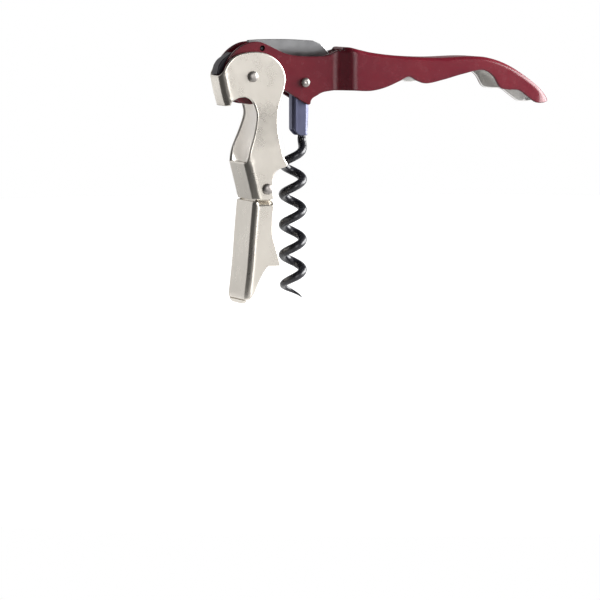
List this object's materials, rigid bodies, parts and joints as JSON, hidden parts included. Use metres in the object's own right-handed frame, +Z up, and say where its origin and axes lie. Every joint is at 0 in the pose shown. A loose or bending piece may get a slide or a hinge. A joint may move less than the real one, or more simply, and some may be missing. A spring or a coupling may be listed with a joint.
{
  "type": "lever corkscrew",
  "caption": "Folding lever corkscrew with a channel-shaped handle, jointed lever arm, wire worm and folding foil knife.",
  "frame": {"origin": "point on the worm's axis level with the top of the cork that it is screwed into", "axes": "+Z up along the worm's axis, +X along the handle towards its tip, Y across the folded sheets, which are symmetric about Y = 0"},
  "size_m": [0.117, 0.0178, 0.082],
  "materials": {
    "red_paint": "glossy baked enamel",
    "nickel": "satin nickel plate",
    "rivet_steel": "bright",
    "dark_steel": "blackened",
    "knife_steel": "brushed",
    "black_coat": "smooth non-stick coat",
    "bracket_coat": "satin coat"
  },
  "bodies": {
    "handle": {"handle_shell": "red_paint", "head_stop": "dark_steel", "head_bush": "dark_steel", "lever_pivot_rivet": "rivet_steel", "worm_pivot_rivet": "rivet_steel", "knife_pivot_pin": "rivet_steel", "knife_washer_near": "dark_steel", "knife_washer_far": "dark_steel"},
    "lever": {"lever_upper_arm": "nickel", "link_rivet": "rivet_steel", "link_bush": "dark_steel"},
    "foot": {"lever_lower_arm": "nickel"},
    "worm": {"worm": "black_coat", "worm_bracket": "bracket_coat"},
    "knife": {"knife_blade": "knife_steel"}
  },
  "joints": [
    {"name": "lever_fold", "type": "hinge", "parent": "handle", "child": "lever", "pos_m": [-0.016, 0, 0.0344], "axis": [0, -1, 0], "range_deg": [0, 58]},
    {"name": "worm_fold", "type": "hinge", "parent": "handle", "child": "worm", "pos_m": [0.0026, 0, 0.0322], "axis": [0, -1, 0], "range_deg": [0, 92]},
    {"name": "link_fold", "type": "hinge", "parent": "lever", "child": "foot", "pos_m": [-0.0122, 0, -0.0004], "axis": [0, -1, 0], "range_deg": [0, 38]},
    {"name": "knife_open", "type": "hinge", "parent": "handle", "child": "knife", "pos_m": [-0.012, 0, 0.043], "axis": [0, -1, 0], "range_deg": [0, 165]}
  ],
  "couplings": [
    {"joint": "worm_fold", "follows": "lever_fold", "ratio": 1.5862},
    {"joint": "link_fold", "follows": "lever_fold", "ratio": 0.6551}
  ]
}
